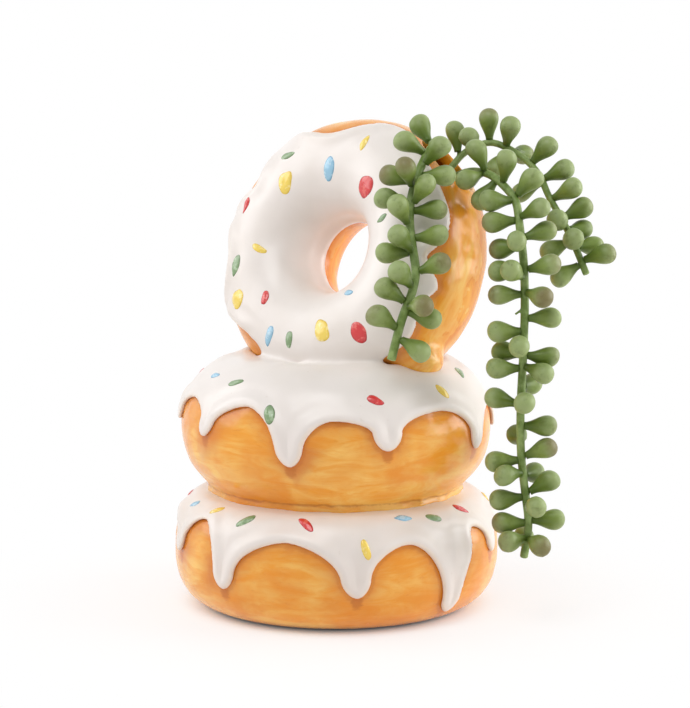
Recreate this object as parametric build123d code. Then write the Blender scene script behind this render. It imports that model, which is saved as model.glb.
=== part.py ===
from build123d import *
import os
from math import cos, radians, sin, sqrt, tan

# A donut vase: two glazed ceramic donuts lying flat, a third standing on edge on top of them and
# leaning back, white icing that drips over each one, raised sprinkles, and three trailing strands
# of plastic leaves that stand in the mouth of the top donut.
# Millimetres and degrees. The origin is the centre of the foot, on the surface that it stands on.
# +Z is up, and the iced face of the upright donut looks towards -Y.

# Ceramic: wall of the castings, coat of icing, and how far one donut settles into the next
WALL = 4.5
ICING = 1.3
SETTLE = 1.5

# Lower donut: outer radius, radius of its crown circle, heights below and above its widest circle
LOWER_RADIUS = 65.0
LOWER_CROWN = 46.0
LOWER_BELOW = 22.8
LOWER_ABOVE = 22.2
LOWER_FULLNESS = 0.66
FOOT_RECESS_RADIUS = 37.0
FOOT_RECESS_DEPTH = 1.5

# Middle donut, with a dish in its top that the upright donut sits in
MIDDLE_RADIUS = 62.0
MIDDLE_CROWN = 38.0
MIDDLE_BELOW = 27.9
MIDDLE_ABOVE = 26.9
MIDDLE_FULLNESS = 0.52
DISH_WIDTH = 16.0
DISH_DEPTH = 6.0

# Upright donut: radius of its centre circle, half sizes of its section, lean back from upright,
# and height of the lowest point of its centre circle over the middle donut's crown
UPPER_CENTRE_RADIUS = 36.8
UPPER_HALF_WIDTH = 20.0
UPPER_HALF_DEPTH = 24.2
UPPER_FULLNESS = 0.64
UPPER_LEAN = 18.4
UPPER_LIFT = 3.4

# Passages between the three hollow donuts, and the mouth in the rim of the upright one
LOWER_THROAT_RADIUS = 30.0
UPPER_THROAT_RADIUS = 14.0
MOUTH_ANGLE = 48.0
MOUTH_HALF_LENGTH = 14.0
MOUTH_HALF_WIDTH = 12.0

# Icing drips as (angle, height of the tip, half width, height of the arch that follows it), with
# heights from the widest circle and angles counted round the axis from +X
LOWER_DRIPS = [
    (17, 2, 5.0, 12),
    (52, -9, 6.0, 13),
    (90, -3, 6.5, 12),
    (128, -13, 6.0, 13),
    (165, -5, 6.5, 12),
    (203, -8, 6.0, 14),
    (240, 2, 5.0, 17),
    (269, -7, 6.0, 13),
    (315, -7, 7.0, 12),
    (353, -17, 5.0, 14),
]
MIDDLE_DRIPS = [
    (10, -5, 5.5, 10),
    (40, -1, 5.5, 11),
    (80, -8, 6.0, 12),
    (120, 0, 6.0, 11),
    (160, -6, 6.0, 12),
    (198, -2, 6.0, 12),
    (225, 3, 5.0, 14),
    (258, 1, 5.5, 14),
    (292, -7, 6.5, 10),
    (327, -1, 6.5, 12),
]

# Edge of the icing on the upright donut as (angle, radius), seen from the front, counted from the
# right, and how far it goes past the middle of the hole's wall
UPPER_EDGE = [
    (0, 51), (8, 54), (20, 54.5), (45, 53), (66, 54.5), (79, 50.5), (97, 45), (111, 49.5),
    (128, 54), (139, 51.5), (150, 45), (160, 51.5), (171, 54), (188, 46.5), (208, 54), (236, 47),
    (257, 54.5), (285, 54), (314, 55), (330, 54.5), (340, 53.5), (348, 54.5),
]
HOLE_EDGE = 1.0

# Share of a radius at which a Bezier quarter keeps the line of a circle
ROUND = 0.5523

# Sprinkles: a capsule sunk in the icing, placed by angle round the donut, rise (0 at the widest
# circle, 1 at the crown, above 1 on the side of the hole), twist from the way round, and scale
SPRINKLE_RADIUS = 2.9
SPRINKLE_LENGTH = 9.0
SPRINKLE_SINK = 2.0
LOWER_SPRINKLES = {
    "red": [(213, 0.57, 0, 1), (298, 0.60, 140, 1.1), (5, 0.64, 140, 1), (106, 0.5, 60, 1)],
    "yellow": [(257, 0.64, 50, 1), (319, 0.29, 110, 1.1), (40, 0.55, 30, 1), (172, 0.52, 150, 1)],
    "green": [(274, 0.56, 45, 1.1), (348, 0.60, 160, 1), (140, 0.6, 20, 1)],
    "blue": [(238, 0.60, 40, 0.8), (335, 0.66, 170, 1), (74, 0.6, 130, 1)],
}
MIDDLE_SPRINKLES = {
    "red": [(324, 0.43, 150, 1), (62, 0.5, 30, 1), (213, 0.52, 40, 1)],
    "yellow": [(355, 0.46, 130, 1), (96, 0.6, 120, 1)],
    "green": [(264, 0.57, 25, 1), (285, 0.28, 110, 1.1), (18, 0.62, 45, 1), (185, 0.55, 150, 1)],
    "blue": [(246, 0.60, 15, 0.8), (140, 0.5, 60, 1)],
}
UPPER_SPRINKLES = {
    "red": [(52, 1.18, 98, 1.25), (161, 0.82, 4, 1), (229, 1.14, 136, 0.9), (343, 0.85, 152, 1),
            (310, 0.77, 95, 1.2)],
    "yellow": [(133, 1.11, 47, 1.25), (72, 0.83, 98, 0.9), (187, 1.19, 63, 1), (215, 0.83, 125, 1.1),
               (289, 0.99, 101, 1.2)],
    "green": [(125, 0.83, 160, 1), (20, 1.15, 100, 0.8), (196, 0.90, 155, 1.1), (265, 0.93, 100, 1)],
    "blue": [(93, 1.17, 77, 1.2), (316, 1.27, 134, 0.8), (250, 0.88, 100, 1.1)],
}

# Leaves: hollow teardrops pushed on pegs of the stem
LEAF_LENGTH = 12.0
LEAF_RADIUS = 4.1
LEAF_BELLY = 8.0
LEAF_NECK_RADIUS = 1.15
LEAF_GAP = 0.3
PEG_RADIUS = 0.55
PEG_DEPTH = 2.0
PEG_CLEARANCE = 0.06
STRAND_GAP = 1.2

# Stems: radii, share of a straight run that the bend at its end takes, where they stand in the
# mouth as (along the mouth, across it), the gap between the inner end and the hollow's wall, and
# how far the long one hangs out from the lower donut and back from the middle
BEND_SHARE = 0.45
FRONT_STEM_RADIUS = 1.7
LONG_STEM_RADIUS = 1.6
SHORT_STEM_RADIUS = 1.4
FRONT_STAND = (4.0, 5.0)
LONG_STAND = (-4.0, -1.0)
SHORT_STAND = (2.0, -7.0)
STEM_END_GAP = 0.3
LONG_CLEAR = 16.0
LONG_DEPTH = 10.0

# Routes as points from the centre of the mouth. The upright donut's own directions are used for
# all but the long strand's drop: right, up along its face, and out of its iced face.
FRONT_ARCH = [(-4.5, 0.5, 6), (3, 4.5, 12.5), (7.5, -4, 25)]
FRONT_DROP = [(9, -15), (8, -25), (9.5, -34), (13.5, -44), (17.5, -53), (17.5, -61), (15, -71), (14, -87)]
LONG_ARCH = [(-3, -10, -1), (8, -4, -1), (19.5, -5.5, 1), (29, -10.5, 4), (37.5, -17, 5)]
LONG_DROP = [(-2, -24), (0.2, -38), (0.8, -54), (0.3, -72), (-0.8, -92), (-0.4, -110), (1.5, -123),
             (4, -137), (1.5, -150)]
SHORT_ARCH = [(-6, -3, -7), (-1.5, 7, -10), (6, 12.5, -15), (13.5, 10.5, -18), (22, 6, -20),
              (28, 0.5, -22), (32, -7, -24), (37.5, -14, -26), (44, -23, -28), (52, -36, -30)]

# Leaves of each strand as (distance from the free end, turn round the stem, lean back). Turn 0
# looks towards the right front, and 90 is a quarter turn to the right of a hanging stem.
LEAF_FRONT = (0.63, -0.78, 0.0)
FRONT_LEAVES = [
    (89, 270, 40), (84, 272, -10), (76, 25, 40), (73, 85, 20), (70, 268, 0), (67, 325, 35),
    (62, 275, 0), (60, 35, 40), (59, 85, 5), (52, 335, 35), (48, 85, 0), (42, 330, 20),
    (42, 270, 10), (34, 60, 15), (28, 315, 20), (22, 270, 10), (21, 30, 10), (19, 85, 5),
    (12, 290, 10), (9, 70, -20),
]
LONG_LEAVES = [
    (162, 335, -5), (160, 45, 20), (153, 265, 0), (148, 45, 10), (139, 75, 15), (138, 295, 8),
    (130, 50, 0), (129, 262, 5), (122, 100, 10), (121, 345, 0), (119, 235, 0), (110, 250, 0),
    (110, 80, 10), (107, 325, 20), (102, 35, -10), (101, 275, 0), (92, 90, 0), (87, 270, 0),
    (82, 345, 0), (78, 230, 0), (78, 95, 0), (74, 45, -10), (73, 275, 0), (66, 150, 0),
    (61, 0, 0), (59, 275, 15), (51, 90, 0), (46, 180, 0), (39, 85, 15), (38, 265, 0),
    (33, 310, 0), (32, 150, 0), (25, 85, 20), (24, 265, 0), (21, 15, -5), (15, 90, 0),
    (14, 265, 0), (8, 310, 0), (8, 25, 0), (5, 180, 0),
]
LONG_BARE_PEG = (96, 295, -30)
SHORT_LEAVES = [
    (85, 96, -40), (79, 30, 0), (71, 95, 0), (64, 55, 0), (62, 290, 0), (60, 170, 0),
    (51, 85, 0), (43, 90, 0), (42, 250, 0), (34, 75, 0), (25, 100, 5), (22, 345, 0),
    (20, 140, 0), (15, 260, 0), (12, 0, 0), (12, 130, 0), (6, 80, -10), (5, 270, -15),
]


class Donut:
    """A donut lying flat round the Z axis, with its widest circle at height zero."""

    def __init__(self, crown, half_width, below, above, fullness, dish=None):
        self.crown = crown
        self.half_width = half_width
        self.below = below
        self.above = above
        self.fullness = fullness
        self.dish = dish

    def quarter(self, side, height, growth):
        """Four control points from the widest point of the section to its top or bottom."""
        width = side * (self.half_width + growth)
        full = self.fullness
        return [
            (self.crown + width, 0),
            (self.crown + width, full * height),
            (self.crown + full * width, height),
            (self.crown, height),
        ]

    def dish_curve(self, growth):
        """Control points of the dish, from the crown down to its level bottom."""
        width = self.dish[0] + growth
        depth = self.dish[1]
        top = self.above + growth
        full = self.fullness
        return [
            (self.crown, top),
            (self.crown - full * width, top),
            (self.crown - width, top - (1 - full) * depth),
            (self.crown - width, top - depth),
        ]

    def bun(self, growth=0.0):
        """The donut without its hole, grown all round."""
        bottom = -self.below - growth
        top = self.above + growth
        lines = [
            Line((0, bottom), (self.crown, bottom)),
            Bezier(*self.quarter(1, bottom, growth)),
            Bezier(*self.quarter(1, top, growth)),
        ]
        end = (self.crown, top)
        if self.dish:
            lines.append(Bezier(*self.dish_curve(growth)))
            end = self.dish_curve(growth)[-1]
        lines.append(Line(end, (0, end[1])))
        lines.append(Line((0, end[1]), (0, bottom)))
        return revolve(Plane.XZ * make_face(lines), Axis.Z)

    def ring(self, growth=0.0):
        """The donut with its hole, grown all round."""
        bottom = -self.below - growth
        top = self.above + growth
        lines = [Bezier(*self.quarter(side, height, growth)) for side in (1, -1) for height in (bottom, top)]
        return revolve(Plane.XZ * make_face(lines), Axis.Z)

    def seat(self, angle, rise, growth):
        """A plane on the grown surface: X runs round the donut and Z stands out of it."""
        side = 1 if rise <= 1 else -1
        t = rise if rise <= 1 else 2 - rise
        a, b, c, d = [Vector(*point) for point in self.quarter(side, self.above + growth, growth)]
        spot = a * (1 - t) ** 3 + b * (3 * t * (1 - t) ** 2) + c * (3 * t * t * (1 - t)) + d * t ** 3
        run = (b - a) * (1 - t) ** 2 + (c - b) * (2 * t * (1 - t)) + (d - c) * t ** 2
        out = Vector(run.Y, -run.X) * side
        turn = radians(angle)
        origin = (spot.X * cos(turn), spot.X * sin(turn), spot.Y)
        normal = (out.X * cos(turn), out.X * sin(turn), out.Y)
        return Plane(origin=origin, x_dir=(-sin(turn), cos(turn), 0), z_dir=normal)


lower = Donut(LOWER_CROWN, LOWER_RADIUS - LOWER_CROWN, LOWER_BELOW, LOWER_ABOVE, LOWER_FULLNESS)
middle = Donut(
    MIDDLE_CROWN, MIDDLE_RADIUS - MIDDLE_CROWN, MIDDLE_BELOW, MIDDLE_ABOVE, MIDDLE_FULLNESS,
    dish=(DISH_WIDTH, DISH_DEPTH),
)
upper = Donut(UPPER_CENTRE_RADIUS, UPPER_HALF_WIDTH, UPPER_HALF_DEPTH, UPPER_HALF_DEPTH, UPPER_FULLNESS)

# Where each donut stands: the flat ones by the height of their widest circle, the upright one by
# a plane whose Z looks out of its iced face
lower_top = LOWER_BELOW + LOWER_ABOVE
middle_height = lower_top - SETTLE + MIDDLE_BELOW
middle_top = middle_height + MIDDLE_ABOVE
lower_place = Pos(0, 0, LOWER_BELOW)
middle_place = Pos(0, 0, middle_height)
lean = radians(UPPER_LEAN)
upper_plane = Plane(
    origin=(0, UPPER_CENTRE_RADIUS * sin(lean), middle_top + UPPER_LIFT + UPPER_CENTRE_RADIUS * cos(lean)),
    x_dir=(1, 0, 0),
    z_dir=(0, -cos(lean), sin(lean)),
)
upper_place = upper_plane.location
mouth_turn = radians(MOUTH_ANGLE)
mouth_radius = UPPER_CENTRE_RADIUS + UPPER_HALF_WIDTH
mouth_out = Vector(cos(mouth_turn), sin(mouth_turn), 0)
mouth_along = Vector(-sin(mouth_turn), cos(mouth_turn), 0)
mouth_centre = mouth_out * mouth_radius


def cylinder_between(radius, bottom, top):
    """A cylinder round the Z axis from one height to another."""
    return Pos(0, 0, bottom) * Cylinder(radius, top - bottom, align=(Align.CENTER, Align.CENTER, Align.MIN))


def mouth_cutter():
    """The oval bore of the mouth, from the middle of the hollow out through the rim."""
    plane = Plane(origin=mouth_out * UPPER_CENTRE_RADIUS, x_dir=mouth_along, z_dir=mouth_out)
    return extrude(plane * Ellipse(MOUTH_HALF_LENGTH, MOUTH_HALF_WIDTH), 2 * UPPER_HALF_WIDTH)


def drip_side(centre, tip, half_width, arch):
    """One side of a drip: a round tip that turns upright, then half of the arch beside it."""
    side = centre + half_width
    turn = tip + abs(half_width)
    return [
        Bezier((centre, tip), (centre + ROUND * half_width, tip),
               (side, turn - ROUND * abs(half_width)), (side, turn)),
        Bezier((side, turn), (side, turn + ROUND * (arch - turn)), ((1 - ROUND) * side, arch), (0, arch)),
    ]


def drip_cutters(donut, drips):
    """One prism under each arch between two neighbouring drips, cut towards the axis."""
    surface = donut.crown + donut.half_width + ICING
    floor = -donut.below - 2 * ICING
    cutters = []
    for index, (angle, tip, half_width, arch) in enumerate(drips):
        next_angle, next_tip, next_half_width, _ = drips[(index + 1) % len(drips)]
        half_gap = ((next_angle - angle) % 360) / 2
        middle_turn = radians(angle + half_gap)
        reach = surface * sin(radians(half_gap))
        past = reach + ICING
        lines = [
            Line((-past, floor), (-past, tip)),
            Line((-past, tip), (-reach, tip)),
            *drip_side(-reach, tip, half_width, arch),
            *drip_side(reach, next_tip, -next_half_width, arch),
            Line((reach, next_tip), (past, next_tip)),
            Line((past, next_tip), (past, floor)),
            Line((past, floor), (-past, floor)),
        ]
        out = Vector(cos(middle_turn), sin(middle_turn), 0)
        plane = Plane(
            origin=out * (donut.crown / 2),
            x_dir=(-sin(middle_turn), cos(middle_turn), 0),
            z_dir=out,
        )
        cutters.append(extrude(plane * make_face(lines), surface))
    return cutters


def flat_icing(donut, drips):
    """The coat over the top of a flat donut, down to its dripping edge."""
    lowest = min(tip for _, tip, _, _ in drips)
    below = cylinder_between(2 * donut.crown, -donut.below - 4 * ICING, lowest)
    return donut.bun(ICING) - donut.bun() - below - drip_cutters(donut, drips)


def upright_icing():
    """The coat over the face of the upright donut, out to its wavy edge and into its hole."""
    points = [(radius * cos(radians(angle)), radius * sin(radians(angle))) for angle, radius in UPPER_EDGE]
    edge = make_face(Spline(*points, periodic=True))
    region = Pos(0, 0, -HOLE_EDGE) * extrude(edge, 2 * UPPER_HALF_DEPTH)
    return (upper.ring(ICING) - upper.ring()) & region


def sprinkles(donut, body, spots):
    """Capsules of one colour, sunk in the icing and cut along its surface."""
    pieces = []
    for angle, rise, twist, scale in spots:
        radius = SPRINKLE_RADIUS * scale
        straight = SPRINKLE_LENGTH * scale / 2 - radius
        lines = [
            Line((-straight - radius, 0), (straight + radius, 0)),
            RadiusArc((straight + radius, 0), (straight, radius), -radius),
            Line((straight, radius), (-straight, radius)),
            RadiusArc((-straight, radius), (-straight - radius, 0), -radius),
        ]
        capsule = revolve(make_face(lines), Axis.X)
        place = donut.seat(angle, rise, ICING).location * Rot(0, 0, twist) * Pos(0, 0, -SPRINKLE_SINK * scale)
        pieces.append(place * capsule - body)
    return pieces


def stem_start(stand):
    """Where a stem stands inside the hollow of the upright donut, in that donut's directions."""
    along, across = stand
    hollow_width = UPPER_HALF_WIDTH - WALL
    hollow_depth = UPPER_HALF_DEPTH - WALL
    wall = UPPER_CENTRE_RADIUS - hollow_width * sqrt(1 - (across / hollow_depth) ** 2)
    return mouth_out * (wall + STEM_END_GAP) + mouth_along * along + Vector(0, 0, across)


def in_upper(points):
    """Points given from the mouth in the upright donut's directions, as points of the whole vase."""
    return [upper_plane.from_local_coords(mouth_centre + Vector(*point)) for point in points]


def rounded_path(points):
    """Straight runs joined by arcs that are as large as the runs allow."""
    radii = []
    for before, corner, after in zip(points, points[1:], points[2:]):
        shorter = min((corner - before).length, (after - corner).length)
        half_turn = radians((corner - before).get_angle(after - corner) / 2)
        radii.append(BEND_SHARE * shorter / tan(half_turn))
    return FilletPolyline(*points, radius=radii)


def leaf_seat(path, stem_radius, spot):
    """A plane on the stem's centre line, with Z along the leaf, and the leaf's distance from there."""
    from_end, turn, lean_back = spot
    share = 1 - from_end / path.length
    tangent = path.tangent_at(share)
    front = Vector(*LEAF_FRONT)
    front = (front - tangent * front.dot(tangent)).normalized()
    side = front.cross(tangent)
    across = front * cos(radians(turn)) + side * sin(radians(turn))
    along = across * cos(radians(lean_back)) - tangent * sin(radians(lean_back))
    clear = stem_radius + LEAF_GAP + LEAF_NECK_RADIUS * abs(sin(radians(lean_back)))
    return Plane(origin=path.position_at(share), z_dir=along), clear / cos(radians(lean_back))


def leaf():
    """One teardrop leaf along Z from its neck, with the socket for its peg."""
    socket = PEG_RADIUS + PEG_CLEARANCE
    tip = LEAF_LENGTH
    belly = LEAF_BELLY
    lines = [
        Line((socket, 0), (LEAF_NECK_RADIUS, 0)),
        Bezier((LEAF_NECK_RADIUS, 0), (LEAF_NECK_RADIUS, belly / 3), (LEAF_RADIUS, belly / 2),
               (LEAF_RADIUS, belly)),
        Bezier((LEAF_RADIUS, belly), (LEAF_RADIUS, (belly + 2 * tip) / 3), (LEAF_RADIUS / 2, tip), (0, tip)),
        Line((0, tip), (0, PEG_DEPTH)),
        Line((0, PEG_DEPTH), (socket, PEG_DEPTH)),
        Line((socket, PEG_DEPTH), (socket, 0)),
    ]
    return revolve(Plane.XZ * make_face(lines), Axis.Z)


def strand(points, stem_radius, leaf_spots, bare_pegs=()):
    """A stem with its pegs, and the leaves that are pushed on them."""
    path = rounded_path(points)
    stem = sweep(Plane(origin=path @ 0, z_dir=path % 0) * Circle(stem_radius), path=path)
    one_leaf = leaf()
    pegs = []
    leaves = []
    for spot in list(leaf_spots) + list(bare_pegs):
        plane, clear = leaf_seat(path, stem_radius, spot)
        pegs.append(extrude(plane * Circle(PEG_RADIUS), clear + PEG_DEPTH))
        if spot in leaf_spots:
            leaves.append(plane.offset(clear).location * one_leaf)
    return stem + pegs, leaves


def save(name, shapes):
    """Write one node: a single solid, or a group of separate ones."""
    solids = [solid for shape in shapes for solid in shape.solids()]
    shape = solids[0] if len(solids) == 1 else Compound(children=solids)
    export_step(shape, f"parts/{name}.step")


os.makedirs("parts", exist_ok=True)

# Ceramic castings, each one cut to the surface of the one that carries it
lower_body = lower_place * lower.bun()
middle_body = middle_place * middle.bun()
upper_body = upper_place * upper.ring()
lower_hollow = lower_place * lower.bun(-WALL)
middle_hollow = middle_place * middle.bun(-WALL)
upper_hollow = upper_place * upper.ring(-WALL)
lower_throat = cylinder_between(LOWER_THROAT_RADIUS, LOWER_BELOW, middle_height)
upper_throat = cylinder_between(UPPER_THROAT_RADIUS, middle_height, middle_top)
foot_recess = cylinder_between(FOOT_RECESS_RADIUS, 0, FOOT_RECESS_DEPTH)
mouth = upper_place * mouth_cutter()
save("lower_donut", [lower_body - lower_hollow - lower_throat - foot_recess])
save("middle_donut", [middle_body - lower_body - middle_hollow - lower_throat - upper_throat])
save("upper_donut", [upper_body - upper_hollow - middle_body - mouth])

# Icing coats, each one stopping at the donut that stands on it
middle_coat = middle_place * middle.bun(ICING)
save("lower_icing", [lower_place * flat_icing(lower, LOWER_DRIPS) - middle_body])
save("middle_icing", [middle_place * flat_icing(middle, MIDDLE_DRIPS) - upper_body])
save("upper_icing", [upper_place * upright_icing() - middle_coat - mouth])

# Sprinkles, one node for each colour on each donut
tiers = [
    ("lower", lower, lower_place, lower.bun(ICING), LOWER_SPRINKLES),
    ("middle", middle, middle_place, middle.bun(ICING), MIDDLE_SPRINKLES),
    ("upper", upper, upper_place, upper.ring(ICING), UPPER_SPRINKLES),
]
for tier, donut, place, coat, colours in tiers:
    for colour, spots in colours.items():
        save(f"{tier}_{colour}_sprinkles", [place * piece for piece in sprinkles(donut, coat, spots)])

# Strands: in front of the iced face, long down the right side, and short behind it
hang_depth = UPPER_HALF_DEPTH + ICING + STRAND_GAP + LEAF_RADIUS
mouth_point = upper_plane.from_local_coords(mouth_centre)
front_points = in_upper(FRONT_ARCH + [(right, up, hang_depth) for right, up in FRONT_DROP])
hang_right = LOWER_RADIUS + ICING + LONG_CLEAR
long_points = in_upper(LONG_ARCH)
long_points += [Vector(hang_right + right, LONG_DEPTH, mouth_point.Z + up) for right, up in LONG_DROP]
short_points = in_upper(SHORT_ARCH)
strands = [
    ("front", front_points, FRONT_STAND, FRONT_STEM_RADIUS, FRONT_LEAVES, []),
    ("long", long_points, LONG_STAND, LONG_STEM_RADIUS, LONG_LEAVES, [LONG_BARE_PEG]),
    ("short", short_points, SHORT_STAND, SHORT_STEM_RADIUS, SHORT_LEAVES, []),
]
for name, points, stand, radius, leaf_spots, bare_pegs in strands:
    start = upper_plane.from_local_coords(stem_start(stand))
    stem, leaves = strand([start] + points, radius, leaf_spots, bare_pegs)
    save(f"{name}_stem", [stem])
    save(f"{name}_leaves", leaves)
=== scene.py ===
import math
import random

import bmesh
import bpy
import numpy as np
from mathutils import Matrix, Vector, noise
from mathutils.bvhtree import BVHTree
from mathutils.kdtree import KDTree


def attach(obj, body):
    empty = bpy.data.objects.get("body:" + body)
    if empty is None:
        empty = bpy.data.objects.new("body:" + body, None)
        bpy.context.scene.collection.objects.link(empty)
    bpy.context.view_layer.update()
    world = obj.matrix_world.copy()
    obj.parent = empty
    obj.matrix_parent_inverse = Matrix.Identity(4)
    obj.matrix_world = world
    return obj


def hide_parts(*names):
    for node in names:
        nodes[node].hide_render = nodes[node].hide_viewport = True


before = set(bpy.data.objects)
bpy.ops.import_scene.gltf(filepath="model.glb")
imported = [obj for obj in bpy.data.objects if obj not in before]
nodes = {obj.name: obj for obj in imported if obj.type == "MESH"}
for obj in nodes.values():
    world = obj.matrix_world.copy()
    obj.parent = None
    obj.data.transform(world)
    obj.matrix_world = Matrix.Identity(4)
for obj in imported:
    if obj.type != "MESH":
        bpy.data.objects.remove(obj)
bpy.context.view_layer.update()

# Metres and degrees, in the frame's own directions: +Z up, the iced face of the ring towards -Y.
MM = 0.001
TIERS = ("lower", "middle", "upper")
STRANDS = ("front", "long", "short")
SEED = 11

# Camera, fitted to the outlines of the three donuts in the photograph
AZIMUTH = math.radians(38.89)
ELEVATION = math.radians(6.91)
DISTANCE = 750 * MM
AIM_HEIGHT = 99.29 * MM
AIM_RIGHT = 3.53 * MM
FOCAL_PIXELS = 1877.3
IMAGE_HEIGHT = 708
SENSOR = 36.0

# Fineness of the remeshed pieces, how often each is smoothed, the most facets that are left in one,
# and how near the split points of a node lie
DONUT_VOXEL = 0.9 * MM
DONUT_ROUNDS = 5
ICING_VOXEL = 0.42 * MM
ICING_ROUNDS = 6
STEM_VOXEL = 0.4 * MM
STEM_ROUNDS = 4
MOST_FACETS = 180_000
WELD = 0.002 * MM

# Hand-made unevenness: broad lumps and smaller dents, none at the bare foot, which has painted contact shade
LUMP_HEIGHT = 0.4 * MM
LUMP_SIZE = 15 * MM
DENT_HEIGHT = 0.15 * MM
DENT_SIZE = 5 * MM
FOOT_EVEN = (1 * MM, 6 * MM)
FOOT_SHADE = (0.4 * MM, 1.6 * MM)

# Thick rim along the icing's edge, found by the sharp edges of its solid, and the groove behind it
RIM_ANGLE = math.radians(50)
RIM_STEP = 0.4 * MM
RIM_HEIGHT = 0.75 * MM
RIM_PLACE = 2.3 * MM
RIM_WIDTH = 2.0 * MM
RIM_MEAN = 0.75
RIM_CHANGE = 0.5
GROOVE_DEPTH = 0.3 * MM
GROOVE_PLACE = 7 * MM
GROOVE_WIDTH = 2.2 * MM

# Soft joint of the icing under the ring
JOINT_CORE = 2 * MM
JOINT_REACH = 8 * MM
JOINT_ROUNDS = 150

# Drips of the flat donuts as (angle, height of the tip in millimetres from the widest circle, how
# far the tip is drawn in, sideways turn of the tip)
WIDEST = {"lower": 22.8 * MM, "middle": 71.4 * MM}
DRIP_ROOT = 12.5
DRIP_REACH = (14, 21)
DRIPS = {
    "lower": [
        (17, 2, 0.4, 0), (52, -9, 0.3, 0), (90, -3, 0.4, 1), (128, -13, 0.2, 0), (165, -5, 0.4, -1),
        (203, -8, 0.4, 0), (240, 2, 0.4, 0), (269, -7, 0.3, -1), (315, -7, 0.35, 1), (353, -17, 0.1, -1.5),
    ],
    "middle": [
        (10, -5, 0.4, -1), (40, -1, 0.4, 0), (80, -8, 0.3, 1), (120, 0, 0.4, 0), (160, -6, 0.4, 0),
        (198, -2, 0.4, 0), (225, 3, 0.4, 0), (258, 1, 0.4, -3), (292, -7, 0.4, 1), (327, -1, 0.3, 0),
    ],
}

# Smudge of glaze below the tip of a drip, in millimetres: half width, and where it starts and fades
RUN_WIDTH = 3.2
RUN_START = (-3, 0)
RUN_FADE = (2, 9)

# Roll of clay and glaze along the joint of the two flat donuts, and the painted shade line in the
# crease above it, placed in thicknesses of the roll
ROLL_RADIUS = 49.6 * MM
ROLL_HEIGHT = 45.7 * MM
ROLL_THICKNESS = 1.8 * MM
ROLL_STEPS = 360
ROLL_SIDES = 12
ROLL_WAVES = 3.1
ROLL_WAVE_OUT = 0.5 * MM
ROLL_WAVE_UP = 0.25 * MM
ROLL_SWELLS = 6.3
ROLL_SWELL = 0.35
CREASE_PLACE = 1.25
CREASE_WIDTH = 0.5
CREASE_WANDER = 0.35
CREASE_SIZE = 4 * MM

# Swelling of the clay where the ring's foot lies over the crest below it: its middle, its turn,
# its half sizes, and how long and how far out it is smoothed into the ring
LOBE_MIDDLE = Vector((40.2, 0.4, 99.8)) * MM
LOBE_TURN = math.radians(38.9)
LOBE_HALF = Vector((11.0, 13.0, 8.0)) * MM
LOBE_ROUNDS = 40
LOBE_FADE = (1.2, 1.9)

# The ring's lean and its middle, as in the frame, and how long the strokes of the brush are
RING_LEAN = math.radians(18.4)
RING_MIDDLE = Vector((0, 11.6 * MM, 136.6 * MM))
BRUSH_STRETCH = 4.0

# Dabs of colour: rings and sectors of their mesh, height, how far their rim sinks in, from which
# half length one on the ring counts as large, how wide the large and the others are brushed, how
# unlike each other they are, and from where to where the icing below them is looked for
DAB_RINGS = 8
DAB_SECTORS = 36
DAB_HEIGHT = 0.65 * MM
DAB_SINK = 0.12 * MM
DAB_LARGE = 4.2 * MM
DAB_LARGE_WIDTH = {"red": 1.35, "yellow": 1.3, "green": 0.8, "blue": 0.9}
DAB_SMALL_WIDTH = 0.74
DAB_WIDTHS = (0.9, 1.15)
DAB_TAPERS = (-0.3, 0.3)
DAB_SLIMNESS = (-0.1, 0.2)
DAB_RAGGED = 0.25
DAB_RAGGED_WAVES = 0.9
DAB_BUMPS = 0.3
DAB_BUMP_SIZE = 2.4 * MM
DAB_ROUNDNESS = 0.7
DAB_ABOVE = 4 * MM
DAB_SEARCH = 9 * MM

# Colours of the dabs on screen, from 0 to 255: at the rim, in the body, and where they are thin
DAB_COLOURS = {
    "red": ((176, 28, 34), (212, 48, 50), (230, 108, 98)),
    "yellow": ((226, 190, 62), (243, 213, 92), (250, 230, 160)),
    "green": ((92, 120, 76), (128, 158, 112), (176, 200, 164)),
    "blue": ((112, 164, 196), (150, 198, 224), (200, 224, 236)),
}

# Leaves: neck and belly as shares of the leaf's length, how blunt the tip is, how the rows of the
# mesh crowd towards it, how unlike each other the leaves are, and their parting line
LEAF_ROWS = 20
LEAF_SIDES = 28
LEAF_NECK = 0.125
LEAF_BELLY = 0.342
LEAF_BELLY_PLACE = 0.67
LEAF_BLUNT = 2.3
LEAF_CROWD = 1.2
LEAF_OVERLAP = 0.5 * MM
LEAF_BEND = 0.8 * MM
LEAF_WIDTHS = (0.95, 1.02)
LEAF_FLATNESS = (0.92, 1.0)
LEAF_BLUSHES = (-0.4, 1.0)
SEAM_HEIGHT = 0.03
SEAM_WIDTH = 0.12

# Floor: its radius, its colour where the shadow lies, tinted peach as a painted warm glow from the
# vase, the radii between which it turns into the white background, and how much of that happens
# between the first two
FLOOR_RADIUS = 4.0
FLOOR_PEACH_GLOW = (1.0, 0.955, 0.94, 1)
FLOOR_TURNS = (0.047, 0.066, 0.17)
FLOOR_SHARE = 0.7

# White tent: its strength all round and towards the camera
TENT_ROUND = 0.66
TENT_CAMERA = 0.16
TENT_REACH = 0.9
WHITE = (1, 1, 1, 1)

# Lamps as (turn from the camera, rise, distance, size, power in watts)
LAMPS = {
    "left": (-95, 30, 0.9, 0.6, 2.6),
    "right": (92, 16, 0.9, 0.7, 5.6),
    "top": (-20, 55, 0.9, 0.5, 3.0),
}


def new_piece(name, work):
    """A new object in the scene, with the shape that is in work."""
    mesh = bpy.data.meshes.new(name)
    work.to_mesh(mesh)
    work.free()
    piece = bpy.data.objects.new(name, mesh)
    bpy.context.scene.collection.objects.link(piece)
    return piece


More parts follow.
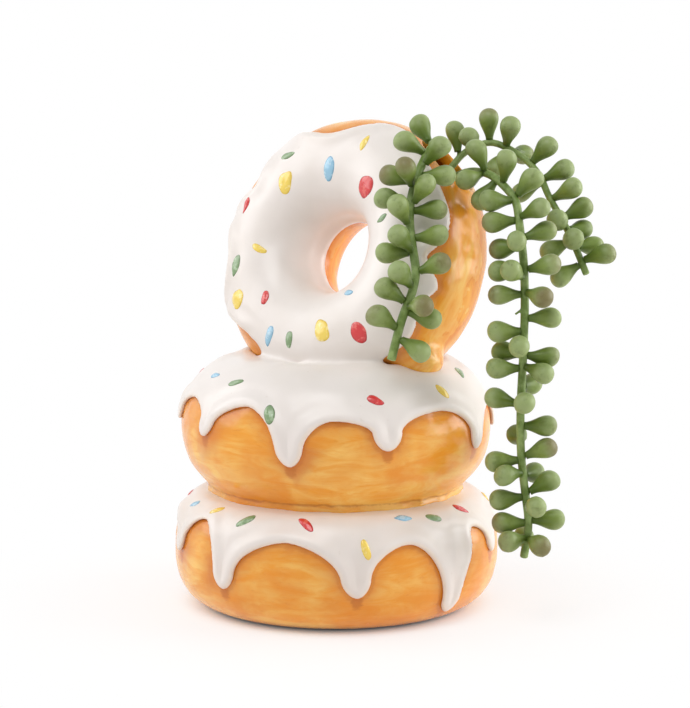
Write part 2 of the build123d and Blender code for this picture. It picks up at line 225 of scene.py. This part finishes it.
def points_of(mesh):
    """The mesh's points as an array."""
    points = np.empty(len(mesh.vertices) * 3, np.float32)
    mesh.vertices.foreach_get("co", points)
    return points.reshape(-1, 3).astype(float)


def set_points(mesh, points):
    """Moves the mesh's points."""
    mesh.vertices.foreach_set("co", np.asarray(points, np.float32).ravel())
    mesh.update()


def normals_of(mesh):
    """The mesh's point normals as an array."""
    normals = np.empty(len(mesh.vertices) * 3, np.float32)
    mesh.vertex_normals.foreach_get("vector", normals)
    return normals.reshape(-1, 3).astype(float)


def set_values(mesh, name, values):
    """Stores one number for each point, for the materials to read."""
    attribute = mesh.attributes.new(name, "FLOAT", "POINT")
    attribute.data.foreach_set("value", np.asarray(values, np.float32))


def set_vectors(mesh, name, vectors):
    """Stores three numbers for each point, for the materials to read."""
    attribute = mesh.attributes.new(name, "FLOAT_VECTOR", "POINT")
    attribute.data.foreach_set("vector", np.asarray(vectors, np.float32).ravel())


def smooth_step(values, low, high):
    """0 below low, 1 above high, and a soft slope between."""
    share = np.clip((values - low) / (high - low), 0, 1)
    return share * share * (3 - 2 * share)


def hump(values, place, width):
    """1 at a place, fading to 0 over a width on both sides."""
    return np.exp(-(((values - place) / width) ** 2))


def lumps(points, size):
    """Soft noise from -1 to 1 at each point."""
    return np.array([noise.noise(Vector(point) / size) for point in points])


def welded(*names):
    """The meshes of some nodes as one, with their split points joined."""
    work = bmesh.new()
    for name in names:
        work.from_mesh(nodes[name].data)
    bmesh.ops.remove_doubles(work, verts=work.verts, dist=WELD)
    return work


def separate_shapes(name):
    """The points of each separate solid in a node."""
    work = welded(name)
    left = set(work.verts)
    shapes = []
    while left:
        found = [left.pop()]
        for vertex in found:
            for edge in vertex.link_edges:
                other = edge.other_vert(vertex)
                if other in left:
                    left.remove(other)
                    found.append(other)
        shapes.append(np.array([vertex.co for vertex in found]))
    work.free()
    return sorted(shapes, key=lambda points: tuple(np.round(points.mean(0), 5)))


def relax(mesh, rounds, share=1.0):
    """Moves each point towards the middle of its neighbours, by its share."""
    points = points_of(mesh)
    count = len(points)
    edges = np.empty(len(mesh.edges) * 2, np.int32)
    mesh.edges.foreach_get("vertices", edges)
    first, second = edges.reshape(-1, 2).T
    near = np.maximum(np.bincount(edges, minlength=count), 1)
    pull = 0.5 * np.broadcast_to(share, count)
    for _ in range(rounds):
        for axis in range(3):
            line = points[:, axis]
            total = np.bincount(first, line[second], count) + np.bincount(second, line[first], count)
            points[:, axis] = line + pull * (total / near - line)
    set_points(mesh, points)


def apply_modifiers(piece):
    """Turns what a piece's modifiers make into its own mesh."""
    bpy.context.view_layer.update()
    graph = bpy.context.evaluated_depsgraph_get()
    piece.data = bpy.data.meshes.new_from_object(piece.evaluated_get(graph))
    piece.modifiers.clear()


def lighten(piece):
    """Brings a piece down to the most facets that one may have."""
    count = sum(len(face.vertices) - 2 for face in piece.data.polygons)
    if count > MOST_FACETS:
        fewer = piece.modifiers.new("fewer", "DECIMATE")
        fewer.ratio = MOST_FACETS / count
        apply_modifiers(piece)


def remeshed(name, voxel, rounds, names, add=None):
    """A new object with the shape of some nodes, and of what is added, in even, smoothed facets."""
    work = welded(*names)
    if add:
        add(work)
    piece = new_piece(name, work)
    remesh = piece.modifiers.new("even", "REMESH")
    remesh.mode = "VOXEL"
    remesh.voxel_size = voxel
    apply_modifiers(piece)
    relax(piece.data, rounds)
    piece.data.shade_smooth()
    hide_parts(*names)
    return piece


def pinched(points, tier):
    """Icing points turned round the axis, so that each drip narrows towards its tip."""
    angle = np.degrees(np.arctan2(points[:, 1], points[:, 0]))
    height = (points[:, 2] - WIDEST[tier]) / MM
    turn = np.zeros(len(points))
    for place, tip, pinch, lean in DRIPS[tier]:
        side = (angle - place + 180) % 360 - 180
        share = np.clip((DRIP_ROOT - height) / (DRIP_ROOT - tip), 0, 1)
        near = 1 - smooth_step(np.abs(side), *DRIP_REACH)
        turn += near * share * (lean - pinch * side)
    turn = np.radians(turn)
    x = points[:, 0] * np.cos(turn) - points[:, 1] * np.sin(turn)
    y = points[:, 0] * np.sin(turn) + points[:, 1] * np.cos(turn)
    return np.stack([x, y, points[:, 2]], 1)


def runs_below(points, tier):
    """How much glaze has run on below the nearest drip, from 0 to 1."""
    angle = np.degrees(np.arctan2(points[:, 1], points[:, 0]))
    radius = np.hypot(points[:, 0], points[:, 1]) / MM
    height = (points[:, 2] - WIDEST[tier]) / MM
    most = np.zeros(len(points))
    for place, tip, _, lean in DRIPS[tier]:
        side = np.radians((angle - place - lean + 180) % 360 - 180) * radius
        drop = tip - height
        here = hump(side, 0, RUN_WIDTH) * smooth_step(drop, *RUN_START) * (1 - smooth_step(drop, *RUN_FADE))
        most = np.maximum(most, here)
    return most


def rim_points(tier):
    """Points along the sharp edges of one coat of icing, close together."""
    points = []
    work = welded(f"{tier}_icing")
    for edge in work.edges:
        if len(edge.link_faces) == 2 and edge.calc_face_angle() > RIM_ANGLE:
            start, end = [vertex.co.copy() for vertex in edge.verts]
            steps = max(1, int((end - start).length / RIM_STEP))
            points += [start.lerp(end, step / steps) for step in range(steps)]
    work.free()
    points = np.array(points)
    return points if tier == "upper" else pinched(points, tier)


def tree_of(points):
    """A search tree over points."""
    tree = KDTree(len(points))
    for index, point in enumerate(points):
        tree.insert(point, index)
    tree.balance()
    return tree


def distances(points, tree):
    """Distance of each point to the nearest one in the tree."""
    return np.array([tree.find(point)[2] for point in points])


def ring_place(points):
    """Angle round the ring from its highest point, distance from its axis, and depth to its face."""
    away = points - np.array(RING_MIDDLE)
    up = away[:, 1] * math.sin(RING_LEAN) + away[:, 2] * math.cos(RING_LEAN)
    depth = -away[:, 1] * math.cos(RING_LEAN) + away[:, 2] * math.sin(RING_LEAN)
    angle = np.arctan2(away[:, 0], up)
    return angle, np.hypot(away[:, 0], up), depth


def add_roll(work):
    """An uneven roll along the joint of the two flat donuts."""
    rings = []
    for step in range(ROLL_STEPS):
        angle = step / ROLL_STEPS * math.tau
        out = Vector((math.cos(angle), math.sin(angle), 0))
        wave = noise.noise(out * ROLL_WAVES)
        thick = ROLL_THICKNESS * (1 + ROLL_SWELL * noise.noise(out * ROLL_SWELLS))
        middle = out * (ROLL_RADIUS + ROLL_WAVE_OUT * wave)
        middle += Vector((0, 0, ROLL_HEIGHT + ROLL_WAVE_UP * wave))
        ring = []
        for side in range(ROLL_SIDES):
            turn = side / ROLL_SIDES * math.tau
            offset = out * (thick * math.cos(turn)) + Vector((0, 0, thick * math.sin(turn)))
            ring.append(work.verts.new(middle + offset))
        rings.append(ring)
    for step in range(ROLL_STEPS):
        ring, after = rings[step], rings[(step + 1) % ROLL_STEPS]
        for side in range(ROLL_SIDES):
            other = (side + 1) % ROLL_SIDES
            work.faces.new((ring[side], after[side], after[other], ring[other]))


def lobe_place():
    """Turns a ball of radius 1 into the swelling at the ring's foot."""
    return Matrix.LocRotScale(LOBE_MIDDLE, Matrix.Rotation(LOBE_TURN, 3, "Z"), LOBE_HALF)


def add_lobe(work):
    """A swelling of the clay at the ring's foot."""
    bmesh.ops.create_icosphere(work, subdivisions=4, radius=1, matrix=lobe_place())


def make_donut(tier):
    """One casting, with what its painted colour needs."""
    add = {"lower": None, "middle": add_roll, "upper": add_lobe}[tier]
    piece = remeshed(f"{tier}_donut_ware", DONUT_VOXEL, DONUT_ROUNDS, [f"{tier}_donut"], add)
    mesh = piece.data
    if tier == "upper":
        back = np.array(lobe_place().inverted())
        local = points_of(mesh) @ back[:3, :3].T + back[:3, 3]
        relax(mesh, LOBE_ROUNDS, 1 - smooth_step(np.linalg.norm(local, axis=1), *LOBE_FADE))
    points = points_of(mesh)
    push = LUMP_HEIGHT * lumps(points, LUMP_SIZE) + DENT_HEIGHT * lumps(points, DENT_SIZE)
    if tier == "lower":
        push *= smooth_step(points[:, 2], *FOOT_EVEN)
    points = points + normals_of(mesh) * push[:, None]
    set_points(mesh, points)
    none = np.zeros(len(points))
    if tier == "upper":
        angle, radius, depth = ring_place(points)
        brush = np.stack([angle * radius, radius * BRUSH_STRETCH, depth * BRUSH_STRETCH], 1)
        run = none
    else:
        depth = none + 1
        brush = points * np.array([1, 1, BRUSH_STRETCH])
        run = runs_below(points, tier)
    crease_shade = none
    if tier == "middle":
        # Painted shade along the crease just above the roll
        above = (points[:, 2] - ROLL_HEIGHT) / ROLL_THICKNESS + CREASE_WANDER * lumps(points, CREASE_SIZE)
        crease_shade = hump(above, CREASE_PLACE, CREASE_WIDTH)
    set_values(mesh, "edge", distances(points, icing_rims[tier]))
    set_values(mesh, "run", run)
    set_values(mesh, "depth", depth)
    set_values(mesh, "crease_shade", crease_shade)
    # Painted contact shade on the bare foot, darkest at the floor
    set_values(mesh, "base", 1 - smooth_step(points[:, 2], *FOOT_SHADE))
    set_vectors(mesh, "brush", brush)
    return piece


def make_icing(name, tiers, joint=None):
    """One or two coats, with a thick rounded rim and a soft joint between them."""
    piece = remeshed(name, ICING_VOXEL, ICING_ROUNDS, [f"{tier}_icing" for tier in tiers])
    mesh = piece.data
    points = pinched(points_of(mesh), tiers[0])
    set_points(mesh, points)
    rim = np.min([distances(points, icing_rims[tier]) for tier in tiers], axis=0)
    push = RIM_HEIGHT * hump(rim, RIM_PLACE, RIM_WIDTH)
    push -= GROOVE_DEPTH * hump(rim, GROOVE_PLACE, GROOVE_WIDTH)
    push *= RIM_MEAN + RIM_CHANGE * lumps(points, LUMP_SIZE)
    push += LUMP_HEIGHT * lumps(points + 1, LUMP_SIZE) + DENT_HEIGHT * lumps(points + 2, 2 * DENT_SIZE)
    if joint:
        near = distances(points, joint)
        away = smooth_step(near, JOINT_CORE, JOINT_REACH)
        push *= smooth_step(near, JOINT_REACH, 2 * JOINT_REACH)
        rim = np.where(near < JOINT_REACH, JOINT_REACH, rim)
    set_points(mesh, points + normals_of(mesh) * push[:, None])
    if joint:
        relax(mesh, JOINT_ROUNDS, 1 - away)
    set_values(mesh, "edge", rim)
    return piece


def add_dab(work, layer, points, broad, ground, chance):
    """One brushed dab of colour, laid on the icing where a sprinkle is."""
    middle = points.mean(0)
    hit, normal, _, _ = ground.find_nearest(Vector(middle))
    along = Vector(np.linalg.eigh(np.cov((points - middle).T))[1][:, -1])
    along = (along - normal * along.dot(normal)).normalized()
    across = normal.cross(along)
    half_length = np.abs((points - middle) @ np.array(along)).max()
    half_width = np.abs((points - middle) @ np.array(across)).max()
    half_width *= broad if half_length > DAB_LARGE else DAB_SMALL_WIDTH
    half_width *= chance.uniform(*DAB_WIDTHS)
    taper = chance.uniform(*DAB_TAPERS)
    slim = chance.uniform(*DAB_SLIMNESS)
    offset = Vector([chance.uniform(-9, 9) for _ in range(3)])

    def spot(share, sector):
        """One point of the dab, by its share of the way out and its sector."""
        angle = sector / DAB_SECTORS * math.tau
        c, s = math.cos(angle), math.sin(angle)
        ragged = 1 + DAB_RAGGED * noise.noise(offset + Vector((c, s, 0)) * DAB_RAGGED_WAVES)
        x = half_length * c * ragged
        y = half_width * s * ragged * (1 + taper * c) * (1 - slim * c * c)
        start = hit + along * (share * x) + across * (share * y)
        found = ground.ray_cast(start + normal * DAB_ABOVE, -normal, DAB_SEARCH)[0] or start
        bumps = 1 + DAB_BUMPS * noise.noise(offset + start / DAB_BUMP_SIZE)
        swell = (1 - share ** 2) ** DAB_ROUNDNESS * bumps
        vertex = work.verts.new(found + normal * (DAB_HEIGHT * swell - DAB_SINK))
        vertex[layer] = 1 - share
        return vertex

    centre = spot(0, 0)
    before = None
    for ring in range(1, DAB_RINGS + 1):
        row = [spot(ring / DAB_RINGS, sector) for sector in range(DAB_SECTORS)]
        for sector in range(DAB_SECTORS):
            other = (sector + 1) % DAB_SECTORS
            if before:
                work.faces.new((before[sector], row[sector], row[other], before[other]))
            else:
                work.faces.new((centre, row[sector], row[other]))
        before = row
    work.faces.new(list(reversed(before)))


def make_dabs(tier, colour, ground, chance):
    """All the dabs of one colour on one donut, smooth but for their flat undersides."""
    work = bmesh.new()
    layer = work.verts.layers.float.new("thick")
    name = f"{tier}_{colour}_sprinkles"
    broad = DAB_LARGE_WIDTH[colour] if tier == "upper" else DAB_SMALL_WIDTH
    for points in separate_shapes(name):
        add_dab(work, layer, points, broad, ground, chance)
    piece = new_piece(f"{tier}_{colour}_dabs", work)
    for face in piece.data.polygons:
        face.use_smooth = len(face.vertices) < DAB_SECTORS
    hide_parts(name)
    return piece


def leaf_axis(points):
    """Base, axis and length of a leaf, whose neck is its narrow end."""
    middle = (points.max(0) + points.min(0)) / 2
    axis = np.linalg.eigh(np.cov((points - middle).T))[1][:, -1]
    along = (points - middle) @ axis
    spread = np.linalg.norm(points - middle - np.outer(along, axis), axis=1)
    third = (along.max() - along.min()) / 3
    if spread[along > along.max() - third].max() < spread[along < along.min() + third].max():
        axis = -axis
        along = -along
    base = points[along < along.min() + 0.02 * third].mean(0)
    return Vector(base), Vector(axis), along.max() - along.min()


def leaf_radius(share):
    """Half thickness of a leaf along its length, as shares of the length."""
    if share < LEAF_BELLY_PLACE:
        rise = share / LEAF_BELLY_PLACE
        return LEAF_NECK + (LEAF_BELLY - LEAF_NECK) * rise * rise * (3 - 2 * rise)
    fall = (share - LEAF_BELLY_PLACE) / (1 - LEAF_BELLY_PLACE)
    return LEAF_BELLY * math.sqrt(max(0.0, 1 - fall ** LEAF_BLUNT))


def add_leaf(work, layers, points, chance):
    """One moulded leaf with a parting line, a slight bend and its own shade."""
    base, axis, length = leaf_axis(points)
    turn = axis.to_track_quat("Z", "Y").to_matrix().to_4x4()
    place = Matrix.Translation(base) @ turn @ Matrix.Rotation(chance.uniform(0, math.tau), 4, "Z")
    bend = LEAF_BEND * chance.uniform(-1, 1)
    width = chance.uniform(*LEAF_WIDTHS)
    flat = chance.uniform(*LEAF_FLATNESS)
    tone = chance.random()
    blush = max(0.0, chance.uniform(*LEAF_BLUSHES))
    rows = []
    for row in range(LEAF_ROWS + 1):
        share = math.sin(row / LEAF_ROWS * math.pi / 2) ** LEAF_CROWD
        height = -LEAF_OVERLAP + (length + LEAF_OVERLAP) * share
        radius = length * leaf_radius(share) * width
        ring = []
        for side in range(LEAF_SIDES if row < LEAF_ROWS else 1):
            angle = side / LEAF_SIDES * math.tau
            seam = 1 + SEAM_HEIGHT * math.exp(-((math.sin(angle) / SEAM_WIDTH) ** 2))
            x = radius * seam * math.cos(angle) + bend * math.sin(share * math.pi)
            vertex = work.verts.new(place @ Vector((x, flat * radius * math.sin(angle), height)))
            vertex[layers["tone"]] = tone
            vertex[layers["along"]] = share
            vertex[layers["tip"]] = share * blush
            ring.append(vertex)
        rows.append(ring)
    for below, above in zip(rows, rows[1:]):
        for side in range(LEAF_SIDES):
            other = (side + 1) % LEAF_SIDES
            corners = [below[side], below[other]]
            corners += [above[0]] if len(above) == 1 else [above[other], above[side]]
            work.faces.new(corners)
    work.faces.new(list(reversed(rows[0])))


def make_leaves(strand, chance):
    """All the leaves of one strand."""
    work = bmesh.new()
    layers = {name: work.verts.layers.float.new(name) for name in ("tone", "along", "tip")}
    for points in separate_shapes(f"{strand}_leaves"):
        add_leaf(work, layers, points, chance)
    piece = new_piece(f"{strand}_leaf_group", work)
    piece.data.shade_smooth()
    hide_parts(f"{strand}_leaves")
    return piece


class Look:
    """A material and short ways to add nodes to it."""

    def __init__(self, name):
        self.material = bpy.data.materials.new(name)
        self.material.use_nodes = True
        self.tree = self.material.node_tree
        self.shader = self.tree.nodes["Principled BSDF"]
        self.output = self.tree.nodes["Material Output"]

    def put(self, socket, value):
        """Sets or links one input."""
        if isinstance(value, bpy.types.NodeSocket):
            self.tree.links.new(value, socket)
        else:
            socket.default_value = value

    def shade(self, key, value):
        """Sets or links one input of the shader."""
        self.put(self.shader.inputs[key], value)

    def carried(self, name, output="Fac"):
        """A number or vector that the mesh carries."""
        node = self.tree.nodes.new("ShaderNodeAttribute")
        node.attribute_name = name
        return node.outputs[output]

    def place(self):
        """Position on the object, in metres."""
        return self.tree.nodes.new("ShaderNodeTexCoord").outputs["Object"]

    def sum(self, first, second, times):
        """The first number plus some times the second."""
        node = self.tree.nodes.new("ShaderNodeMath")
        node.operation = "MULTIPLY_ADD"
        for socket, value in zip(node.inputs, (second, times, first)):
            self.put(socket, value)
        return node.outputs[0]

    def noise(self, vector, scale, detail=3.0, roughness=0.5, distortion=0.0):
        """Noise from 0 to 1."""
        node = self.tree.nodes.new("ShaderNodeTexNoise")
        keys = ("Vector", "Scale", "Detail", "Roughness", "Distortion")
        for key, value in zip(keys, (vector, scale, detail, roughness, distortion)):
            self.put(node.inputs[key], value)
        return node.outputs["Fac"]

    def step(self, value, low, high, to_low=0.0, to_high=1.0):
        """A soft step of a value."""
        node = self.tree.nodes.new("ShaderNodeMapRange")
        node.interpolation_type = "SMOOTHSTEP"
        keys = ("Value", "From Min", "From Max", "To Min", "To Max")
        for key, number in zip(keys, (value, low, high, to_low, to_high)):
            self.put(node.inputs[key], number)
        return node.outputs[0]

    def mix(self, share, first, second):
        """One colour into another."""
        node = self.tree.nodes.new("ShaderNodeMix")
        node.data_type = "RGBA"
        self.put(node.inputs[0], share)
        colours = [socket for socket in node.inputs if socket.type == "RGBA"]
        self.put(colours[0], first)
        self.put(colours[1], second)
        return [socket for socket in node.outputs if socket.type == "RGBA"][0]

    def bump(self, height, strength, distance):
        """Fine relief."""
        node = self.tree.nodes.new("ShaderNodeBump")
        for key, value in zip(("Height", "Strength", "Distance"), (height, strength, distance)):
            self.put(node.inputs[key], value)
        self.shade("Normal", node.outputs["Normal"])


def srgb(red, green, blue):
    """A colour as it looks on screen, from 0 to 255, for a shader."""
    def linear(number):
        share = number / 255
        return share / 12.92 if share <= 0.04045 else ((share + 0.055) / 1.055) ** 2.4
    return (linear(red), linear(green), linear(blue), 1.0)


def orange_glaze():
    """Brushed orange colour under a clear glaze: streaks round the donut, darker where it pools."""
    look = Look("orange_glaze")
    brush = look.carried("brush", "Vector")
    streaks = look.noise(brush, 46, 6, 0.62, 0.8)
    fine = look.noise(brush, 210, 4, 0.7, 0.5)
    patches = look.noise(look.place(), 32, 4, 0.55, 0.6)
    blots = look.noise(look.place(), 170, 2)

    # Streaks, patches and fine strokes
    colour = look.mix(look.step(streaks, 0.34, 0.68), srgb(242, 161, 46), srgb(252, 201, 102))
    colour = look.mix(look.step(patches, 0.42, 0.66, 0, 0.75), colour, srgb(234, 142, 24))
    colour = look.mix(look.step(fine, 0.54, 0.78, 0, 0.35), colour, srgb(214, 122, 22))

    # Deeper colour on the ring's back; a band along the icing, partly pooled colour and partly a painted
    # dark reflection; pooled colour in a thin line at the icing and below drips
    ragged = look.sum(look.carried("depth"), blots, 0.02)
    deep = look.mix(look.step(streaks, 0.36, 0.66), srgb(232, 138, 16), srgb(248, 172, 46))
    colour = look.mix(look.step(ragged, 0.0048, 0.0056, 0.9, 0), colour, deep)
    # Wide band along the icing: pooled colour together with a painted dark reflection
    wide = look.sum(look.sum(look.carried("edge"), streaks, -0.004), patches, 0.03)
    colour = look.mix(look.step(wide, 0.008, 0.022, 0.85, 0), colour, srgb(210, 112, 18))
    narrow = look.sum(look.carried("edge"), fine, -0.003)
    colour = look.mix(look.step(narrow, 0.0, 0.001, 0.3, 0), colour, srgb(198, 108, 24))
    run = look.sum(look.carried("run"), fine, -0.9)
    colour = look.mix(look.step(run, 0.0, 0.4, 0, 0.7), colour, srgb(200, 110, 22))

    # Painted shade: a dark line in the crease over the roll, and painted contact shade on the bare foot
    crease_shade = look.sum(look.sum(look.carried("crease_shade"), fine, -0.5), streaks, -0.9)
    colour = look.mix(look.step(crease_shade, -0.15, 0.35, 0, 0.55), colour, srgb(184, 102, 32))
    # Painted contact shade on the bare foot
    colour = look.mix(look.carried("base"), colour, srgb(96, 70, 46))
    look.shade("Base Color", colour)
    look.shade("Roughness", look.step(fine, 0.2, 0.8, 0.16, 0.28))
    look.shade("Specular IOR Level", 0.42)
    look.shade("Coat Weight", 0.15)
    look.shade("Coat Roughness", 0.06)
    look.bump(look.sum(fine, blots, 0.8), 0.14, 0.0004)
    return look.material


def white_glaze():
    """Thick white glaze, a little greyer in patches and warmer where it thins at its rim."""
    look = Look("white_glaze")
    patches = look.noise(look.place(), 30, 3)
    specks = look.noise(look.place(), 420, 2)
    colour = look.mix(look.step(patches, 0.35, 0.7), srgb(238, 231, 226), srgb(230, 222, 215))
    colour = look.mix(look.step(specks, 0.68, 0.8, 0, 0.35), colour, srgb(216, 206, 195))
    colour = look.mix(look.step(look.carried("edge"), 0.0, 0.0016, 0.5, 0), colour, srgb(236, 214, 186))
    look.shade("Base Color", colour)
    look.shade("Roughness", look.step(patches, 0.3, 0.7, 0.28, 0.4))
    look.shade("Coat Weight", 0.15)
    look.shade("Coat Roughness", 0.16)
    look.bump(look.noise(look.place(), 110, 3), 0.1, 0.0005)
    return look.material


def dab_glaze(name, rim, body, thin):
    """Brushed-on colour of the sprinkles: darker at the rim, thin and pale in places."""
    look = Look(name)
    strokes = look.noise(look.place(), 420, 3, 0.6)
    thick = look.sum(look.carried("thick"), strokes, 0.35)
    colour = look.mix(look.step(thick, 0.2, 0.45), rim, body)
    colour = look.mix(look.step(strokes, 0.5, 0.68, 0, 0.8), colour, thin)
    look.shade("Base Color", colour)
    look.shade("Roughness", look.step(strokes, 0.3, 0.7, 0.16, 0.3))
    look.shade("Coat Weight", 0.5)
    look.shade("Coat Roughness", 0.06)
    look.bump(strokes, 0.2, 0.0005)
    return look.material


def leaf_plastic():
    """Satin green plastic, painted shade towards the neck, a pale belly that is dusty bloom and painted
    sheen, some with a dusky tip.
    """
    look = Look("leaf_plastic")
    mottle = look.noise(look.place(), 300, 4, 0.65)
    dust_and_sheen = look.noise(look.place(), 110, 3)
    along = look.carried("along")
    colour = look.mix(look.carried("tone"), srgb(98, 120, 42), srgb(130, 150, 74))
    # Painted shade, darker towards the neck
    colour = look.mix(look.step(along, 0.0, 0.45, 0.75, 0), colour, srgb(64, 90, 16))
    # Pale belly: partly dusty bloom, partly painted sheen
    pale_bloom_and_sheen = look.sum(along, dust_and_sheen, 0.9)
    colour = look.mix(look.step(pale_bloom_and_sheen, 0.85, 1.35, 0, 0.7), colour, srgb(160, 176, 122))
    colour = look.mix(look.step(mottle, 0.5, 0.72, 0, 0.4), colour, srgb(86, 100, 42))
    dusky = look.sum(look.carried("tip"), mottle, 0.3)
    colour = look.mix(look.step(dusky, 0.55, 1.05, 0, 0.8), colour, srgb(114, 98, 62))
    look.shade("Base Color", colour)
    look.shade("Roughness", look.step(mottle, 0.3, 0.7, 0.34, 0.5))
    look.shade("Specular IOR Level", 0.35)
    look.bump(mottle, 0.16, 0.0003)
    return look.material


def stem_plastic():
    """Green plastic of the stems, with faint mottling."""
    look = Look("stem_plastic")
    mottle = look.noise(look.place(), 180, 4, 0.6)
    look.shade("Base Color", look.mix(look.step(mottle, 0.35, 0.7), srgb(100, 124, 54), srgb(148, 170, 104)))
    look.shade("Roughness", look.step(mottle, 0.3, 0.7, 0.4, 0.55))
    look.shade("Specular IOR Level", 0.35)
    look.bump(mottle, 0.15, 0.0003)
    return look.material


def finish_piece(piece, body, material):
    """Puts a piece on its body with its material."""
    lighten(piece)
    piece.data.materials.clear()
    piece.data.materials.append(material)
    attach(piece, body)


def ground_of(piece):
    """A search tree over a piece's surface."""
    graph = bpy.context.evaluated_depsgraph_get()
    return BVHTree.FromObject(piece, graph)


def seen_rays(tree):
    """1 for the rays that show the background: from the camera, mirrored or passed through."""
    path = tree.nodes.new("ShaderNodeLightPath")
    seen = path.outputs["Is Camera Ray"]
    for kind in ("Is Glossy Ray", "Is Transmission Ray"):
        node = tree.nodes.new("ShaderNodeMath")
        node.operation = "MAXIMUM"
        tree.links.new(seen, node.inputs[0])
        tree.links.new(path.outputs[kind], node.inputs[1])
        seen = node.outputs[0]
    return seen


def make_floor():
    """A white floor, tinted peach near the vase as a painted warm glow, that keeps a soft shadow there and
    turns into the white background.
    """
    first, second, last = FLOOR_TURNS
    bpy.ops.mesh.primitive_circle_add(vertices=96, radius=FLOOR_RADIUS, fill_type="NGON")
    floor = bpy.context.object
    floor.name = "floor"
    look = Look("floor_white")
    length = look.tree.nodes.new("ShaderNodeVectorMath")
    length.operation = "LENGTH"
    look.put(length.inputs[0], look.place())
    # Peach tint: painted warm glow from the vase
    look.shade("Base Color", FLOOR_PEACH_GLOW)
    look.shade("Roughness", 0.6)
    glow = look.tree.nodes.new("ShaderNodeEmission")
    glow.inputs["Strength"].default_value = 1.0
    blend = look.tree.nodes.new("ShaderNodeMixShader")
    under = look.step(length.outputs["Value"], first, second, 0.0, FLOOR_SHARE)
    share = look.sum(under, look.step(length.outputs["Value"], second, last), 1 - FLOOR_SHARE)
    look.put(blend.inputs[0], look.sum(0.0, share, seen_rays(look.tree)))
    look.put(blend.inputs[1], look.shader.outputs[0])
    look.put(blend.inputs[2], glow.outputs[0])
    look.put(look.output.inputs[0], blend.outputs[0])
    floor.data.materials.append(look.material)


def view_back():
    """Direction from the vase to the camera."""
    level = math.cos(ELEVATION)
    return Vector((math.sin(AZIMUTH) * level, -math.cos(AZIMUTH) * level, math.sin(ELEVATION)))


def make_world():
    """White where it is seen, and for the lighting a white tent that is dimmer on the camera's side."""
    world = bpy.data.worlds.new("studio")
    bpy.context.scene.world = world
    world.use_nodes = True
    tree = world.node_tree
    tree.nodes.clear()
    place = tree.nodes.new("ShaderNodeTexCoord")
    towards = tree.nodes.new("ShaderNodeVectorMath")
    towards.operation = "DOT_PRODUCT"
    towards.inputs[1].default_value = view_back()
    tree.links.new(place.outputs["Generated"], towards.inputs[0])
    level = tree.nodes.new("ShaderNodeMapRange")
    level.interpolation_type = "SMOOTHSTEP"
    keys = ("From Min", "From Max", "To Min", "To Max")
    for key, value in zip(keys, (0.0, TENT_REACH, TENT_ROUND, TENT_CAMERA)):
        level.inputs[key].default_value = value
    tree.links.new(towards.outputs["Value"], level.inputs["Value"])
    tent = tree.nodes.new("ShaderNodeBackground")
    tree.links.new(level.outputs[0], tent.inputs["Strength"])
    tent.inputs["Color"].default_value = WHITE
    back = tree.nodes.new("ShaderNodeBackground")
    back.inputs["Color"].default_value = WHITE
    blend = tree.nodes.new("ShaderNodeMixShader")
    tree.links.new(seen_rays(tree), blend.inputs[0])
    tree.links.new(tent.outputs[0], blend.inputs[1])
    tree.links.new(back.outputs[0], blend.inputs[2])
    output = tree.nodes.new("ShaderNodeOutputWorld")
    tree.links.new(blend.outputs[0], output.inputs[0])


def add_lamp(name, turn, rise, distance, size, power):
    """A square soft light that looks at the vase, placed by turn from the camera and rise."""
    lamp = bpy.data.lights.new(name, "AREA")
    lamp.size = size
    lamp.energy = power
    holder = bpy.data.objects.new(name, lamp)
    bpy.context.scene.collection.objects.link(holder)
    around = AZIMUTH + math.radians(turn)
    level = math.cos(math.radians(rise))
    away = Vector((math.sin(around) * level, -math.cos(around) * level, math.sin(math.radians(rise))))
    holder.location = Vector((0, 0, AIM_HEIGHT)) + away * distance
    holder.rotation_euler = away.to_track_quat("Z", "Y").to_euler()


def make_camera():
    """The photograph's viewpoint."""
    right = Vector((math.cos(AZIMUTH), math.sin(AZIMUTH), 0))
    lens = bpy.data.cameras.new("camera")
    lens.sensor_width = SENSOR
    lens.lens = FOCAL_PIXELS * SENSOR / IMAGE_HEIGHT
    camera = bpy.data.objects.new("camera", lens)
    bpy.context.scene.collection.objects.link(camera)
    camera.location = Vector((0, 0, AIM_HEIGHT)) + right * AIM_RIGHT + view_back() * DISTANCE
    camera.rotation_euler = view_back().to_track_quat("Z", "Y").to_euler()
    bpy.context.scene.camera = camera


# Castings and their icing
rims = {tier: rim_points(tier) for tier in TIERS}
icing_rims = {tier: tree_of(rims[tier]) for tier in TIERS}
joint_tree = tree_of(rims["upper"][distances(rims["upper"], icing_rims["middle"]) < JOINT_CORE])
orange = orange_glaze()
white = white_glaze()
for tier in TIERS:
    finish_piece(make_donut(tier), "vase", orange)
lower_coat = make_icing("lower_icing_coat", ["lower"])
finish_piece(lower_coat, "vase", white)
upper_coat = make_icing("upper_icing_coat", ["middle", "upper"], joint_tree)
finish_piece(upper_coat, "vase", white)

# Dabs of colour on the icing
chance = random.Random(SEED)
bpy.context.view_layer.update()
lower_ground = ground_of(lower_coat)
upper_ground = ground_of(upper_coat)
for colour, shades in DAB_COLOURS.items():
    glaze = dab_glaze(f"{colour}_glaze", *[srgb(*shade) for shade in shades])
    for tier in TIERS:
        ground = lower_ground if tier == "lower" else upper_ground
        finish_piece(make_dabs(tier, colour, ground, chance), "vase", glaze)

# Strands
leaf_material = leaf_plastic()
stem_material = stem_plastic()
for strand in STRANDS:
    finish_piece(make_leaves(strand, chance), f"{strand}_strand", leaf_material)
    stem = remeshed(f"{strand}_stem_moulding", STEM_VOXEL, STEM_ROUNDS, [f"{strand}_stem"])
    finish_piece(stem, f"{strand}_strand", stem_material)

# Studio
make_floor()
make_world()
for name, settings in LAMPS.items():
    add_lamp(name, *settings)
make_camera()
bpy.context.scene.view_settings.view_transform = "Standard"
